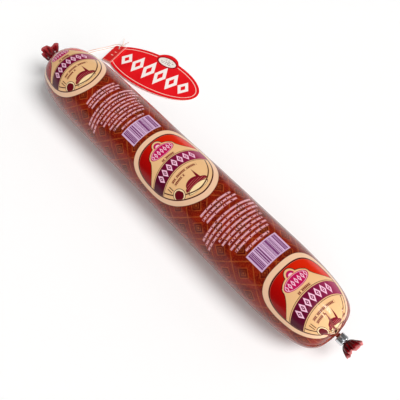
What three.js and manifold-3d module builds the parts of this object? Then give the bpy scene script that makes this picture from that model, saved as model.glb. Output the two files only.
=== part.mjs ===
// A clipped chub of cured sausage, 60 mm across, lying on its side with its hang tag beside it.
// Millimetres, +Z up. The sausage lies along X and stands on z = 0, with x = 0 at the middle of its
// length and y = 0 on its axis. The end with the hang tag is the -X end.

import * as THREE from "three";
import { mergeVertices } from "three/addons/utils/BufferGeometryUtils.js";
import Module from "manifold-3d";

const wasm = await Module();
wasm.setup();

// ---- Driving dimensions -------------------------------------------------------------------

const CLEARANCE = 0.3; // gap kept between pieces that touch

// Stuffed body
const BODY_RADIUS = 30; // outside of the casing where it is full
const BODY_HALF_LENGTH = 173.5; // middle of the body to the crown of an end
const SHOULDER_LENGTH = 100; // length of each end over which the body rounds in
const SHOULDER_POWER = 4.2; // 2 would be an ellipse, a high number a flat end
const NOSE_LENGTH = 1.5; // the gathered film rises this much from the crown to the neck
const NOSE_RADIUS = 13; // where that rise starts
const SAG = 1.2; // the body's own weight flattens its underside by this much
const CASING_THICKNESS = 0.4;

// Gathered ends
const NECK_RADIUS = 2.1; // bunched film where it is tied off
const NECK_BORE_RADIUS = 0.55; // fine channel left through the bunched film
const PLEAT_COUNT = 10; // radial gathers round each end
const PLEAT_DEPTH = 0.45;
const PLEAT_RADIUS = 20; // the gathers fade out at this distance from the axis
const TAIL_LENGTH = 11.5; // loose film beyond the clip
const TAIL_RADIUS = 8.2; // how wide the loose film flares
const TAIL_FILM = 0.8; // crumpled film at the tail's rim
const TAIL_LOBES = 5; // folds round the tail
const TAIL_FLATTEN = 0.72; // the flare is this much lower than it is wide
const FAR_TAIL_LIFT = 6.5; // how far each tail's rim bends up from the axis
const NEAR_TAIL_LIFT = 0.8;

// Clips
const CLIP_LENGTH = 5.7; // along the body's axis
const CLIP_SIDE_WALL = 1.8; // clip metal beside the neck
const CLIP_TOP_WALL = 1.3; // and above and below it
const CLIP_EDGE = 0.4; // rounding of its rims
const CLIP_GROOVE_DEPTH = 0.75; // cleft where the two curled legs meet
const CLIP_GROOVE_ANGLE = 14; // degrees over which the cleft opens
const CLIP_ROLL = 22; // degrees that the cleft turns from straight up towards -Y

// Hang tag, lying flat beside the sausage
const TAG_LENGTH = 107; // fold to tip
const TAG_HALF_WIDTH = 23.2;
const TAG_OVAL_OFFSET = 3; // the oval's long axis lies this far above the middle of the fold
const TAG_THICKNESS = 0.6;
const TAG_BUMP_ALONG = 57; // crest on the tag's upper edge, measured from the fold
const TAG_BUMP_HALF_LENGTH = 13.5;
const TAG_BUMP_RISE = 5.6;
const FLAP_LENGTH = 11;
const FLAP_HALF_WIDTH = 11;
const FLAP_EXTRA_TOP = 4.2; // the flap's cut edge is longer than its fold by this much at its top
const FLAP_GAP = 0.4; // air between the flap and the card under it
const TAG_HOLE_RADIUS = 1.3;
const TAG_HOLE_ALONG = 5.5;
const TAG_HOLE_FROM_EDGE = 3.2;
const TAG_FOLD_MIDDLE = [-181.6, 57.9]; // where the middle of the fold lies on the surface
const TAG_TURN = 14.9; // degrees from +X to the tag's long axis

// Thread and its knot
const THREAD_DIAMETER = 0.8;
const THREAD_SIDES = 8;
const THREAD_STEPS = 80;
const KNOT_RADIUS = 1.5;
const KNOT_FROM_EDGE = 2.6; // knot centre to the tag's edge
const LOOSE_END_LENGTH = 7;

// Mesh fineness
const BODY_SIDES = 40;
const SHOULDER_STEPS = 8;
const SHOULDER_SWEEP = 84; // degrees of the shoulder's quarter turn before the nose takes over
const TAIL_STEPS = 5;
const CLIP_SIDES = 32;

// ---- Values worked out from the driving dimensions ----------------------------------------

const AXIS_HEIGHT = BODY_RADIUS - SAG;
const NECK_START = BODY_HALF_LENGTH + NOSE_LENGTH;
const NECK_EXPOSED = THREAD_DIAMETER + 3 * CLEARANCE; // room for the thread between nose and clip
const CLIP_START = NECK_START + NECK_EXPOSED;
const CLIP_BORE_RADIUS = NECK_RADIUS + CLEARANCE;
const CLIP_HALF_WIDTH = CLIP_BORE_RADIUS + CLIP_SIDE_WALL;
const CLIP_HALF_HEIGHT = CLIP_BORE_RADIUS + CLIP_TOP_WALL;
const CLIP_END = CLIP_START + CLIP_LENGTH;
const TAIL_START = CLIP_END + CLEARANCE;
const FILLING_GAP = CASING_THICKNESS + CLEARANCE;
const TAG_STACK = 2 * TAG_THICKNESS + FLAP_GAP; // card, air and flap
const TAG_RAISE = THREAD_DIAMETER + 2 * CLEARANCE; // the thread under the card holds its end up

// ---- Materials ----------------------------------------------------------------------------

const finish = (color, roughness, metalness = 0) =>
  new THREE.MeshStandardMaterial({ color, roughness, metalness });

const materials = {
  film: finish("#963c28", 0.28),
  meat: finish("#8c2f2a", 0.6),
  aluminium: finish("#c3c6c8", 0.32, 1),
  card: finish("#dc0f17", 0.35),
  thread: finish("#f1e6cf", 0.7),
};

// ---- Mesh helpers -------------------------------------------------------------------------

const degrees = THREE.MathUtils.degToRad;

// A closed body from rings of equally many points. The rings run so that each ring's points turn
// counter-clockwise as seen from the end that the rings lead to. A loop of rings closes on itself;
// otherwise the first and last rings are capped at their middles. A quad between two rings is always
// split the same way along X, so a surface set in from another one stays clear of it.
function loft(rings, isLoop) {
  const sides = rings[0].length;
  const positions = [];
  const index = [];
  for (const ring of rings) {
    for (const point of ring) positions.push(point.x, point.y, point.z);
  }
  const spans = isLoop ? rings.length : rings.length - 1;
  for (let i = 0; i < spans; i++) {
    const a = i * sides;
    const next = (i + 1) % rings.length;
    const b = next * sides;
    const isForward = rings[next][0].x > rings[i][0].x;
    for (let j = 0; j < sides; j++) {
      const k = (j + 1) % sides;
      if (isForward) index.push(a + j, a + k, b + k, a + j, b + k, b + j);
      else index.push(a + j, a + k, b + j, a + k, b + k, b + j);
    }
  }
  if (!isLoop) {
    capRing(positions, index, rings[0], 0, false);
    capRing(positions, index, rings.at(-1), (rings.length - 1) * sides, true);
  }
  const geometry = new THREE.BufferGeometry();
  geometry.setAttribute("position", new THREE.Float32BufferAttribute(positions, 3));
  geometry.setIndex(index);
  return geometry;
}

function capRing(positions, index, ring, start, isLast) {
  const middle = new THREE.Vector3();
  for (const point of ring) middle.addScaledVector(point, 1 / ring.length);
  const centre = positions.length / 3;
  positions.push(middle.x, middle.y, middle.z);
  for (let j = 0; j < ring.length; j++) {
    const k = (j + 1) % ring.length;
    if (isLast) index.push(centre, start + j, start + k);
    else index.push(centre, start + k, start + j);
  }
}

function toSolid(geometry) {
  const bare = geometry.clone();
  bare.deleteAttribute("normal");
  bare.deleteAttribute("uv");
  const merged = mergeVertices(bare);
  const vertProperties = new Float32Array(merged.attributes.position.array);
  const triVerts = new Uint32Array(merged.index.array);
  return new wasm.Manifold(new wasm.Mesh({ numProp: 3, vertProperties, triVerts }));
}

function toGeometry(solid) {
  const mesh = solid.getMesh();
  const geometry = new THREE.BufferGeometry();
  geometry.setAttribute("position", new THREE.BufferAttribute(mesh.vertProperties, 3));
  geometry.setIndex(new THREE.BufferAttribute(mesh.triVerts, 1));
  return geometry;
}

// Draws a regular polygon round a path's origin.
function polygon(path, radius, sides) {
  path.moveTo(radius, 0);
  for (let i = 1; i < sides; i++) {
    const turn = (i / sides) * 2 * Math.PI;
    path.lineTo(radius * Math.cos(turn), radius * Math.sin(turn));
  }
  path.closePath();
  return path;
}

function tube(curve, diameter, sides, steps) {
  const section = polygon(new THREE.Shape(), diameter / 2, sides);
  return new THREE.ExtrudeGeometry(section, { extrudePath: curve, steps, bevelEnabled: false });
}

// ---- Body profile -------------------------------------------------------------------------

// Distance from the middle of the body to the point of an end's outline at this radius.
function crownDistance(radius) {
  const round = Math.pow(1 - Math.pow(radius / BODY_RADIUS, SHOULDER_POWER), 1 / SHOULDER_POWER);
  const nose = NOSE_LENGTH * Math.pow(Math.max(0, 1 - (radius - NECK_RADIUS) / NOSE_RADIUS), 1.6);
  return BODY_HALF_LENGTH - SHOULDER_LENGTH * (1 - round) + nose;
}

// Radii down one shoulder, evenly spread round its outline.
function shoulderRadii() {
  const radii = [];
  for (let i = 0; i <= SHOULDER_STEPS; i++) {
    const turn = (i / SHOULDER_STEPS) * degrees(SHOULDER_SWEEP);
    radii.push(BODY_RADIUS * Math.pow(Math.cos(turn), 2 / SHOULDER_POWER));
  }
  return radii;
}

// Radii of the nose, from the end of the shoulder almost to the neck.
function noseRadii() {
  const start = shoulderRadii().at(-1);
  return [0.6, 0.25].map((share) => NECK_RADIUS + (start - NECK_RADIUS) * share);
}

// One ring of the body round its axis. A point that would pass below the flat underside is drawn
// in towards the axis until it lies on it.
function bodyRing(side, radius, inset, depth) {
  const ring = [];
  const pleating = PLEAT_DEPTH * Math.max(0, 1 - radius / PLEAT_RADIUS);
  const near = Math.min(1, (radius - NECK_RADIUS) / 3);
  for (let j = 0; j < BODY_SIDES; j++) {
    const turn = (j / BODY_SIDES) * 2 * Math.PI;
    const along = crownDistance(radius) + pleating * near * Math.cos(PLEAT_COUNT * turn);
    const y = Math.cos(turn) * (radius - inset.radial);
    const z = Math.sin(turn) * (radius - inset.radial);
    const draw = Math.min(1, depth / Math.max(-z, depth));
    ring.push(new THREE.Vector3(side * (along - inset.along), y * draw, z * draw));
  }
  return ring;
}

// How far a surface set in by a thickness moves, along the radius and along the axis.
function insetAt(radius, thickness) {
  const step = 0.01;
  const slope = (crownDistance(radius - step) - crownDistance(radius)) / step;
  const length = Math.hypot(1, slope);
  return { radial: (thickness * slope) / length, along: thickness / length };
}

function bodyRings(side, radii, thickness) {
  const rings = [];
  for (const radius of radii) {
    const isStraight = radius === BODY_RADIUS;
    const inset = isStraight ? { radial: thickness, along: 0 } : insetAt(radius, thickness);
    rings.push(bodyRing(side, radius, inset, AXIS_HEIGHT - thickness));
  }
  return rings;
}

// ---- Neck and tail ------------------------------------------------------------------------

function roundRing(x, radius, sides) {
  const ring = [];
  for (let j = 0; j < sides; j++) {
    const turn = (j / sides) * 2 * Math.PI;
    ring.push(new THREE.Vector3(x, Math.cos(turn) * radius, Math.sin(turn) * radius));
  }
  return ring;
}

// A ring of the loose film beyond the clip, at a share from 0 at the clip to 1 at the rim.
function tailRing(side, share, inner, lift) {
  const ring = [];
  const base = inner ? NECK_BORE_RADIUS : NECK_RADIUS;
  const rim = inner ? TAIL_RADIUS - TAIL_FILM : TAIL_RADIUS;
  const flare = Math.pow(share, 0.85);
  for (let j = 0; j < BODY_SIDES; j++) {
    const turn = (j / BODY_SIDES) * 2 * Math.PI;
    const folds = 0.2 * Math.cos(TAIL_LOBES * turn + side) + 0.08 * Math.cos(3 * turn + 1);
    const radius = base + (rim - base) * flare * (1 + folds * share);
    const low = 1 - (1 - TAIL_FLATTEN) * share;
    const rimWave = 1.3 * share * share * Math.cos(3 * turn + 0.6);
    const x = side * (TAIL_START + TAIL_LENGTH * share + rimWave - 1.3 * share * share);
    const z = Math.sin(turn) * radius * low + lift * share * share;
    ring.push(new THREE.Vector3(x, Math.cos(turn) * radius, z));
  }
  return ring;
}

// The outside of one end of the casing, from the shoulder to the rim of its tail.
function endOutside(side, lift) {
  const rings = bodyRings(side, [...shoulderRadii(), ...noseRadii()], 0);
  rings.push(roundRing(side * NECK_START, NECK_RADIUS, BODY_SIDES));
  for (let i = 0; i <= TAIL_STEPS; i++) rings.push(tailRing(side, i / TAIL_STEPS, false, lift));
  return rings;
}

// The inside of the same end.
function endInside(side, lift) {
  const rings = bodyRings(side, [...shoulderRadii(), ...noseRadii()], CASING_THICKNESS);
  rings.push(roundRing(side * (NECK_START - CASING_THICKNESS), NECK_BORE_RADIUS, BODY_SIDES));
  for (let i = 0; i <= TAIL_STEPS; i++) rings.push(tailRing(side, i / TAIL_STEPS, true, lift));
  return rings;
}

// The printed film is one tube: its outside runs from the far rim to the near rim, and its inside
// runs back, so its two bores and its hollow are one open channel.
function casing() {
  const outside = [...endOutside(-1, FAR_TAIL_LIFT).reverse(), ...endOutside(1, NEAR_TAIL_LIFT)];
  const inside = [...endInside(1, NEAR_TAIL_LIFT).reverse(), ...endInside(-1, FAR_TAIL_LIFT)];
  return loft([...outside, ...inside], true);
}

// The meat fills the casing from crown to crown and stops short of the noses.
function filling() {
  const radii = shoulderRadii();
  const rings = [...bodyRings(-1, radii, FILLING_GAP).reverse(), ...bodyRings(1, radii, FILLING_GAP)];
  return loft(rings, false);
}

// ---- Clips --------------------------------------------------------------------------------

// One ring of a clip's outside: an oval with a cleft where the two curled legs meet.
function clipOutsideRing(x, inset) {
  const ring = [];
  for (let i = 0; i < CLIP_SIDES; i++) {
    const turn = (i / CLIP_SIDES) * 2 * Math.PI;
    const fromTop = THREE.MathUtils.radToDeg(turn - Math.PI / 2) / CLIP_GROOVE_ANGLE;
    const shrink = 1 - (CLIP_GROOVE_DEPTH * Math.exp(-fromTop * fromTop)) / CLIP_HALF_HEIGHT;
    const y = (CLIP_HALF_WIDTH - inset) * shrink * Math.cos(turn);
    const z = (CLIP_HALF_HEIGHT - inset) * shrink * Math.sin(turn);
    ring.push(new THREE.Vector3(x, y, z));
  }
  return ring;
}

// A closed clip, gripping the neck all round.
function clip(side) {
  const start = side > 0 ? CLIP_START : -CLIP_END;
  const end = start + CLIP_LENGTH;
  const geometry = loft(
    [
      clipOutsideRing(start, CLIP_EDGE),
      clipOutsideRing(start + CLIP_EDGE, 0),
      clipOutsideRing(end - CLIP_EDGE, 0),
      clipOutsideRing(end, CLIP_EDGE),
      roundRing(end, CLIP_BORE_RADIUS, CLIP_SIDES),
      roundRing(start, CLIP_BORE_RADIUS, CLIP_SIDES),
    ],
    true,
  );
  geometry.rotateX(degrees(CLIP_ROLL));
  return geometry;
}

// ---- Hang tag -----------------------------------------------------------------------------

// The tag's own frame: x from the fold to the tip, y across, z up from the card's underside.

function prism(shape, height) {
  return toSolid(new THREE.ExtrudeGeometry(shape, { depth: height, bevelEnabled: false, curveSegments: 24 }));
}

function ovalShape(x, y, halfLength, halfWidth) {
  const shape = new THREE.Shape();
  shape.absellipse(x, y, halfLength, halfWidth, 0, 2 * Math.PI, false);
  return shape;
}

function flapShape() {
  const shape = new THREE.Shape();
  shape.moveTo(0, -FLAP_HALF_WIDTH);
  shape.lineTo(FLAP_LENGTH, -FLAP_HALF_WIDTH);
  shape.lineTo(FLAP_LENGTH, FLAP_HALF_WIDTH + FLAP_EXTRA_TOP);
  shape.lineTo(0, FLAP_HALF_WIDTH);
  shape.closePath();
  return shape;
}

// The card's outline, as tall as the stack of card and flap.
function tagOutline() {
  const halfLength = TAG_LENGTH / 2;
  const bumpHeight = TAG_HALF_WIDTH / 2;
  const bumpMiddle = TAG_OVAL_OFFSET + TAG_HALF_WIDTH + TAG_BUMP_RISE - bumpHeight;
  const oval = prism(ovalShape(halfLength, TAG_OVAL_OFFSET, halfLength, TAG_HALF_WIDTH), TAG_STACK);
  const bump = prism(ovalShape(TAG_BUMP_ALONG, bumpMiddle, TAG_BUMP_HALF_LENGTH, bumpHeight), TAG_STACK);
  const flap = prism(flapShape(), TAG_STACK);
  return oval.add(bump).add(flap);
}

// The card seen from its side: a long strip, bent over at the fold into the short flap.
function foldedStrip() {
  const turn = TAG_STACK / 2;
  const gap = FLAP_GAP / 2;
  const strip = new THREE.Shape();
  strip.moveTo(TAG_LENGTH, 0);
  strip.lineTo(TAG_LENGTH, TAG_THICKNESS);
  strip.lineTo(turn, TAG_THICKNESS);
  strip.absarc(turn, turn, gap, -Math.PI / 2, Math.PI / 2, true);
  strip.lineTo(FLAP_LENGTH, TAG_THICKNESS + FLAP_GAP);
  strip.lineTo(FLAP_LENGTH, TAG_STACK);
  strip.lineTo(turn, TAG_STACK);
  strip.absarc(turn, turn, turn, Math.PI / 2, (3 * Math.PI) / 2, false);
  strip.closePath();
  const depth = 4 * TAG_HALF_WIDTH;
  const geometry = new THREE.ExtrudeGeometry(strip, { depth, bevelEnabled: false, curveSegments: 8 });
  geometry.translate(0, 0, -depth / 2);
  geometry.rotateX(Math.PI / 2);
  return toSolid(geometry);
}

function tagHoleMiddle() {
  const edge = FLAP_HALF_WIDTH + (FLAP_EXTRA_TOP * TAG_HOLE_ALONG) / FLAP_LENGTH;
  return new THREE.Vector2(TAG_HOLE_ALONG, edge - TAG_HOLE_FROM_EDGE);
}

function hangTag() {
  const middle = tagHoleMiddle();
  const drill = new THREE.CylinderGeometry(TAG_HOLE_RADIUS, TAG_HOLE_RADIUS, 4 * TAG_STACK, 16);
  drill.rotateX(Math.PI / 2);
  drill.translate(middle.x, middle.y, 0);
  return toGeometry(foldedStrip().intersect(tagOutline()).subtract(toSolid(drill)));
}

// ---- Thread -------------------------------------------------------------------------------

// The thread is one loop: it leaves the knot, lies along the surface to the end of the sausage,
// goes up over the neck between the nose and the clip, and comes back beside itself to the knot.
// The points of its route are chosen by hand, in the part's frame.
const THREAD_ROUTE = [
  [-180.9, 71.9, 1.4],
  [-183.6, 70.4, 0.75],
  [-185.8, 68.0, 0.5],
  [-187.4, 64.2, 0.5],
  [-190.6, 56.6, 0.5],
  [-194.0, 48.0, 0.5],
  [-196.0, 39.6, 0.5],
  [-195.0, 31.5, 0.55],
  [-191.0, 24.4, 1.7],
  [-185.8, 18.6, 6.0],
  [-180.8, 13.4, 13.2],
  [-177.2, 8.8, 20.4],
  [-175.95, 5.2, 26.4],
  [-175.85, 3.1, 30.2],
  [-175.85, 0.0, 32.1],
  [-175.85, -3.1, 30.2],
  [-175.95, -3.9, 25.6],
  [-177.0, -1.8, 19.6],
  [-180.2, 3.0, 12.6],
  [-185.0, 9.4, 6.0],
  [-191.0, 16.4, 1.7],
  [-196.8, 24.6, 0.55],
  [-199.6, 34.0, 0.5],
  [-198.4, 43.6, 0.5],
  [-194.8, 53.4, 0.5],
  [-190.8, 62.4, 0.5],
  [-188.6, 68.6, 0.5],
  [-186.2, 72.8, 0.75],
  [-183.2, 74.7, 1.5],
];

function threadCurve() {
  const points = THREAD_ROUTE.map(([x, y, z]) => new THREE.Vector3(x, y, z));
  return new THREE.CatmullRomCurve3(points, false, "centripetal");
}

// The knot in the tag's frame, with the hitch that passes through the hole and round the card's
// edge, and two loose ends.
function threadKnot() {
  const hole = tagHoleMiddle();
  const edge = hole.y + TAG_HOLE_FROM_EDGE;
  const knotY = edge + KNOT_FROM_EDGE;
  const above = TAG_STACK + CLEARANCE + THREAD_DIAMETER / 2;
  const below = -CLEARANCE - THREAD_DIAMETER / 2;
  const middle = (above + below) / 2;
  const hitchPath = new THREE.CatmullRomCurve3(
    [
      new THREE.Vector3(hole.x, knotY, middle),
      new THREE.Vector3(hole.x, edge + 0.2, above),
      new THREE.Vector3(hole.x, hole.y + 0.7, above),
      new THREE.Vector3(hole.x, hole.y, middle),
      new THREE.Vector3(hole.x, hole.y + 0.7, below),
      new THREE.Vector3(hole.x, edge + 0.2, below),
    ],
    true,
  );
  const hitch = toSolid(tube(hitchPath, THREAD_DIAMETER, THREAD_SIDES, 24));
  const blob = new THREE.SphereGeometry(KNOT_RADIUS, 12, 8);
  blob.scale(1.1, 1, 0.8);
  blob.translate(hole.x, knotY, middle);
  let knot = hitch.add(toSolid(blob));
  for (const [across, up] of [
    [-0.35, 0.5],
    [0.55, 0.25],
  ]) {
    const start = new THREE.Vector3(hole.x, knotY, middle);
    const end = start.clone().add(new THREE.Vector3(across, 1, up).setLength(LOOSE_END_LENGTH));
    const bend = start.clone().lerp(end, 0.5).add(new THREE.Vector3(0, 0, 0.8));
    const path = new THREE.QuadraticBezierCurve3(start, bend, end);
    knot = knot.add(toSolid(tube(path, THREAD_DIAMETER, THREAD_SIDES, 6)));
  }
  return toGeometry(knot);
}

// ---- Assembly -----------------------------------------------------------------------------

function named(name, geometry, material) {
  const mesh = new THREE.Mesh(geometry, material);
  mesh.name = name;
  return mesh;
}

// What lies round the body's axis.
function chub() {
  const group = new THREE.Group();
  group.add(named("salami_filling", filling(), materials.meat));
  group.add(named("casing", casing(), materials.film));
  group.add(named("clip_near", clip(1), materials.aluminium));
  group.add(named("clip_far", clip(-1), materials.aluminium.clone()));
  group.position.z = AXIS_HEIGHT;
  return group;
}

// The tag and the knot at its edge. The thread under its folded end tips the tag up a little.
function tagWithKnot() {
  const group = new THREE.Group();
  group.add(named("hang_tag", hangTag(), materials.card));
  group.add(named("thread_knot", threadKnot(), materials.thread));
  const tip = Math.asin(TAG_RAISE / TAG_LENGTH);
  group.rotation.set(0, tip, degrees(TAG_TURN), "ZYX");
  group.position.set(...TAG_FOLD_MIDDLE, TAG_RAISE);
  return group;
}

function threadLoop() {
  const geometry = tube(threadCurve(), THREAD_DIAMETER, THREAD_SIDES, THREAD_STEPS);
  return named("thread_loop", geometry, materials.thread.clone());
}

const sausage = new THREE.Group();
sausage.add(chub(), tagWithKnot(), threadLoop());

export default sausage;
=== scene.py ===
"""A clipped chub of cured sausage in printed film, lying beside the tag that hangs from its end.

Metres, +Z up. The sausage lies along X on the floor, and the end with the tag is the -X end.
"""

import random
from functools import reduce
from math import asin, cos, degrees, exp, hypot, pi, radians, sin, sqrt

import bmesh
import bpy
from mathutils import Matrix, Vector, noise


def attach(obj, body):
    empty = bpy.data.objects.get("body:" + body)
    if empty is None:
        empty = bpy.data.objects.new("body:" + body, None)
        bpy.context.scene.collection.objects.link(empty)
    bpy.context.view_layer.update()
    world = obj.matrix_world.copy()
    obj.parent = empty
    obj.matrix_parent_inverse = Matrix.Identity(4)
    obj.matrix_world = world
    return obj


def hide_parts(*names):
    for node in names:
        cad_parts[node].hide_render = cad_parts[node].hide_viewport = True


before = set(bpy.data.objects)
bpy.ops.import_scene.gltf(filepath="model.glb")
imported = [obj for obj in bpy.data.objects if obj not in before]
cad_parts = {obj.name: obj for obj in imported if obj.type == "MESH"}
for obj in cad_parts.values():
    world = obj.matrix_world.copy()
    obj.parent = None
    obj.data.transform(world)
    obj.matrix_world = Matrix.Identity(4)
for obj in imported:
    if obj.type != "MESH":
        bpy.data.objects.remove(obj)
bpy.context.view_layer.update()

MM = 0.001
FULL_TURN = 2 * pi


def new_mesh(name, points, faces):
    mesh = bpy.data.meshes.new(name)
    mesh.from_pydata(points, [], faces)
    return mesh


def add_object(name, data):
    thing = bpy.data.objects.new(name, data)
    bpy.context.collection.objects.link(thing)
    return thing


def set_inputs(node, values):
    for name, value in values.items():
        node.inputs[name].default_value = value


def aim(thing, place, way):
    """Puts a camera or a light at a place, looking one way."""
    thing.location = place
    thing.rotation_mode = "QUATERNION"
    thing.rotation_quaternion = Vector(way).to_track_quat("-Z", "Y")


# ---- Camera, before everything else

CAMERA_PLACE = (0.2244, -0.1699, 0.4345)
CAMERA_AZIMUTH = radians(139.22)  # the way it looks over the floor, from +X towards +Y
CAMERA_DIP = radians(57.28)  # how far it looks down


def make_camera():
    data = bpy.data.cameras.new("Camera")
    data.lens = 54.0
    data.sensor_width = 36.0
    data.clip_start = 0.01
    data.clip_end = 50.0
    camera = add_object("Camera", data)
    level = cos(CAMERA_DIP)
    way = (cos(CAMERA_AZIMUTH) * level, sin(CAMERA_AZIMUTH) * level, -sin(CAMERA_DIP))
    aim(camera, CAMERA_PLACE, way)
    bpy.context.scene.camera = camera


make_camera()

# ---- The thread, a limp cord from the knot round the far neck of the sausage and back

THREAD_DIAMETER = 0.0008
THREAD_ROUTE = [
    (-0.1809, 0.0719, 0.0014), (-0.1836, 0.0704, 0.00075),
    (-0.1858, 0.0680, 0.0005), (-0.1874, 0.0642, 0.0005),
    (-0.1906, 0.0566, 0.0005), (-0.1940, 0.0480, 0.0005),
    (-0.1960, 0.0396, 0.0005), (-0.1950, 0.0315, 0.00055),
    (-0.1910, 0.0244, 0.0017), (-0.1858, 0.0186, 0.0060),
    (-0.1808, 0.0134, 0.0132), (-0.1772, 0.0088, 0.0204),
    (-0.17595, 0.0052, 0.0264), (-0.17585, 0.0031, 0.0302),
    (-0.17585, 0.0, 0.0321), (-0.17585, -0.0031, 0.0302),
    (-0.17595, -0.0039, 0.0256), (-0.1770, -0.0018, 0.0196),
    (-0.1802, 0.0030, 0.0126), (-0.1850, 0.0094, 0.0060),
    (-0.1910, 0.0164, 0.0017), (-0.1968, 0.0246, 0.00055),
    (-0.1996, 0.0340, 0.0005), (-0.1984, 0.0436, 0.0005),
    (-0.1948, 0.0534, 0.0005), (-0.1908, 0.0624, 0.0005),
    (-0.1886, 0.0686, 0.0005), (-0.1862, 0.0728, 0.00075),
    (-0.1832, 0.0747, 0.0015),
]


def smooth_route(points, steps):
    """Points along a centripetal Catmull-Rom curve through the given points."""
    points = [Vector(p) for p in points]
    ends = [2 * points[0] - points[1], 2 * points[-1] - points[-2]]
    padded = [ends[0], *points, ends[1]]
    line = []
    for i in range(len(points) - 1):
        p = padded[i : i + 4]
        knots = [0.0]
        for a, b in zip(p, p[1:]):
            knots.append(knots[-1] + sqrt((b - a).length))
        for k in range(steps):
            t = knots[1] + (knots[2] - knots[1]) * k / steps
            blend = p
            for spans in (((0, 1), (1, 2), (2, 3)), ((0, 2), (1, 3)), ((1, 2),)):
                blend = [
                    blend[j].lerp(blend[j + 1], (t - knots[a]) / (knots[b] - knots[a]))
                    for j, (a, b) in enumerate(spans)
                ]
            line.append(blend[0])
    line.append(points[-1])
    return line


def strand_rings(points, diameter, sides, pitch, radii):
    """Rings of a strand of two plies round a line. pitch is one full turn of its twist."""
    rings = []
    ahead = (points[1] - points[0]).normalized()
    out = ahead.orthogonal().normalized()
    travelled = 0.0
    for i, point in enumerate(points):
        before = points[max(0, i - 1)]
        after = points[min(len(points) - 1, i + 1)]
        travelled += (point - before).length
        ahead = (after - before).normalized()
        out = (out - ahead * out.dot(ahead)).normalized()
        side = ahead.cross(out)
        radius = diameter / 2 * (radii[i] if radii else 1.0)
        ring = []
        for j in range(sides):
            turn = FULL_TURN * j / sides
            ply = 0.80 + 0.20 * abs(cos(turn - FULL_TURN * travelled / pitch))
            ring.append(point + (out * cos(turn) + side * sin(turn)) * radius * ply)
        rings.append(ring)
    return rings


def tube_faces(low, high, count):
    """The faces between two rings of points. low and high are the rings' first points."""
    faces = []
    for j in range(count):
        k = (j + 1) % count
        faces.append((low + j, low + k, high + k, high + j))
    return faces


class StrandMesh:
    """A mesh of one or more closed strands."""

    def __init__(self):
        self.points = []
        self.faces = []

    def add(self, line, diameter, sides=10, pitch=0.0022, radii=None):
        rings = strand_rings(line, diameter, sides, pitch, radii)
        start = len(self.points)
        for ring in rings:
            self.points.extend(ring)
        for i in range(len(rings) - 1):
            low = start + i * sides
            self.faces.extend(tube_faces(low, low + sides, sides))
        last = start + (len(rings) - 1) * sides
        self.faces.append(tuple(start + j for j in reversed(range(sides))))
        self.faces.append(tuple(last + j for j in range(sides)))

    def make(self, name):
        mesh = new_mesh(name, self.points, self.faces)
        mesh.shade_smooth()
        return add_object(name, mesh)


thread_line = smooth_route(THREAD_ROUTE, 14)
thread_mesh = StrandMesh()
thread_mesh.add(thread_line, THREAD_DIAMETER)
thread = thread_mesh.make("tag_thread")
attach(thread, "root")
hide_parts("thread_loop")

# ---- Floor and lights


def srgb(red, green, blue):
    """A colour for a shader from red, green and blue of 0 to 255 as a screen shows them."""
    linear = []
    for part in (red, green, blue):
        share = part / 255
        linear.append(share / 12.92 if share <= 0.04045 else ((share + 0.055) / 1.055) ** 2.4)
    return (*linear, 1.0)


def new_material(name):
    material = bpy.data.materials.new(name)
    material.use_nodes = True
    return material, material.node_tree, material.node_tree.nodes["Principled BSDF"]


FLOOR_HALF_SIZE = 12.0
FLOOR_DROP = 0.0001  # the floor lies this far under zero height


def make_floor():
    half = FLOOR_HALF_SIZE
    z = -FLOOR_DROP
    corners = [(-half, -half, z), (half, -half, z), (half, half, z), (-half, half, z)]
    mesh = new_mesh("floor", corners, [(0, 1, 2, 3)])
    floor = add_object("floor", mesh)
    material, _, shader = new_material("floor_paint")
    set_inputs(shader, {"Base Color": (0.95, 0.945, 0.94, 1.0), "Roughness": 0.75})
    set_inputs(shader, {"Emission Color": (1.0, 0.99, 0.98, 1.0), "Emission Strength": 0.09})
    set_inputs(shader, {"Specular IOR Level": 0.2})
    mesh.materials.append(material)


ROOM_LIGHT = 0.95  # level with the floor
CEILING_LIGHT = 0.06
PALE_UP_TO = 0.03  # the room is pale up to here and dark from there, as sines of the way up
DARK_FROM = 0.20


def add_soft_sun(name, way, spread, strength):
    """A far light in one direction, spread degrees wide."""
    light = bpy.data.lights.new(name, "SUN")
    light.angle = radians(spread)
    light.energy = strength
    aim(add_object(name, light), way, -Vector(way))


def light_scene():
    """Soft light from above the near end and a little from +Y, in a room that darkens upwards."""
    scene = bpy.context.scene
    world = bpy.data.worlds.new("studio")
    world.use_nodes = True
    tree = world.node_tree
    way = tree.nodes.new("ShaderNodeTexCoord")
    split = tree.nodes.new("ShaderNodeSeparateXYZ")
    height = tree.nodes.new("ShaderNodeMapRange")
    set_inputs(height, {"From Min": PALE_UP_TO, "From Max": DARK_FROM})
    set_inputs(height, {"To Min": ROOM_LIGHT, "To Max": CEILING_LIGHT})
    background = tree.nodes["Background"]
    background.inputs["Color"].default_value = (1.0, 0.965, 0.95, 1.0)
    tree.links.new(way.outputs["Generated"], split.inputs[0])
    tree.links.new(split.outputs[2], height.inputs["Value"])
    tree.links.new(height.outputs[0], background.inputs["Strength"])
    scene.world = world
    scene.view_settings.view_transform = "Standard"
    scene.view_settings.look = "None"
    add_soft_sun("key", (0.58, 0.14, 0.80), 28.0, 2.35)
    add_soft_sun("fill", (0.72, -0.26, 0.72), 60.0, 1.20)
    add_soft_sun("side", (0.42, 0.85, 0.50), 50.0, 0.30)


make_floor()
light_scene()

# ---- Numbers that vary over a surface, for the materials


def connect(socket, value):
    """Sets a socket to a number or a colour, or links a field to it."""
    if isinstance(value, Field):
        value.tree.links.new(value.socket, socket)
    else:
        socket.default_value = value


def operation(name):
    return lambda field, *others: field.run(name, *others)


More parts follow.
